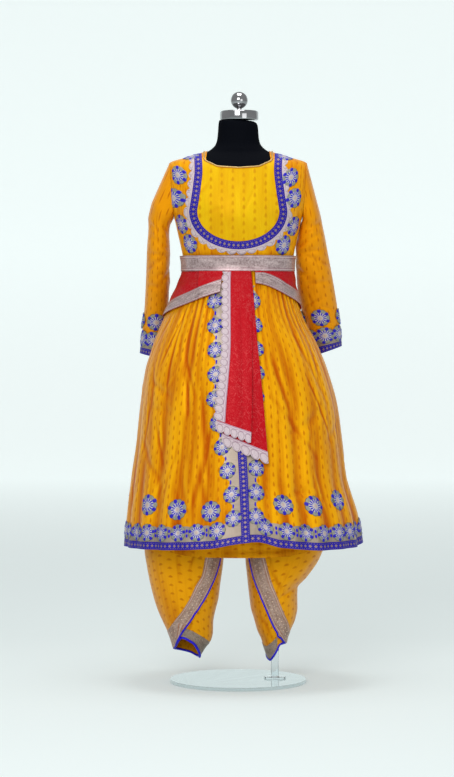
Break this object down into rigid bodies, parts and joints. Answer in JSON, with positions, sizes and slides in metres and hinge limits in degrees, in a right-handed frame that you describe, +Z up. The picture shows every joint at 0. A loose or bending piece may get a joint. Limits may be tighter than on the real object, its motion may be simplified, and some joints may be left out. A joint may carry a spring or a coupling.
{
  "type": "anarkali dance costume on limbless dress form",
  "caption": "Long-sleeved flared tunic with appliqued bands, wound sash with hanging ends and pleated dhoti trousers, dressed on a limbless form with rod and round base.",
  "frame": {"origin": "under the middle of the base plate, on the floor", "axes": "+Z up, the front faces -Y, +X is the wearer's left"},
  "size_m": [0.6469, 0.533, 1.5945],
  "materials": {
    "golden_silk": "figured silk",
    "lemon_silk": "figured silk",
    "crimson_silk": "brocade",
    "silver_lace": "metallic lace",
    "silver_tissue": "metallic tissue",
    "mauve_border": "metallic brocade",
    "blue_ribbon": "woven ribbon",
    "blue_piping": "satin piping",
    "gold_piping": "metallic piping",
    "form_black": "smooth covered form",
    "chrome": "polished",
    "clear_plate": "clear, polished edge"
  },
  "bodies": {
    "root": {"bodice_front": "golden_silk", "bodice_back": "golden_silk", "sleeve_right": "golden_silk", "sleeve_left": "golden_silk", "skirt_front_right": "golden_silk", "skirt_front_left": "golden_silk", "skirt_back": "golden_silk", "dhoti_waistband": "golden_silk", "dhoti_body": "golden_silk", "dhoti_leg_right": "golden_silk", "dhoti_leg_left": "golden_silk", "dhoti_flap_right": "golden_silk", "dhoti_flap_left": "golden_silk", "yoke_panel": "lemon_silk", "sash_wrap_right": "crimson_silk", "sash_wrap_left": "crimson_silk", "sash_wrap_back": "crimson_silk", "sash_tail_front": "crimson_silk", "sash_tail_back": "crimson_silk", "yoke_lace": "silver_lace", "belt_band": "silver_lace", "sash_border_right": "silver_lace", "sash_border_left": "silver_lace", "sash_border_back": "silver_lace", "tail_border_front": "silver_lace", "tail_lace_front": "silver_lace", "tail_lace_back": "silver_lace", "cuff_band_right": "silver_tissue", "cuff_band_left": "silver_tissue", "front_band_right": "silver_tissue", "front_band_left": "silver_tissue", "hem_band_right": "silver_tissue", "hem_band_left": "silver_tissue", "hem_band_back": "silver_tissue", "flap_border_right": "mauve_border", "flap_border_left": "mauve_border", "ankle_border_right": "mauve_border", "ankle_border_left": "mauve_border", "yoke_ribbon": "blue_ribbon", "cuff_ribbon_right": "blue_ribbon", "cuff_ribbon_left": "blue_ribbon", "front_ribbon_right": "blue_ribbon", "front_ribbon_left": "blue_ribbon", "hem_ribbon_right": "blue_ribbon", "hem_ribbon_left": "blue_ribbon", "hem_ribbon_back": "blue_ribbon", "flap_piping_right": "blue_piping", "flap_piping_left": "blue_piping", "ankle_piping_right": "blue_piping", "ankle_piping_left": "blue_piping", "neck_piping_front": "gold_piping", "neck_piping_back": "gold_piping", "form_torso": "form_black", "form_neck_cap": "chrome", "form_finial": "chrome", "stand_rod": "clear_plate", "stand_base": "clear_plate"}
  },
  "joints": []
}
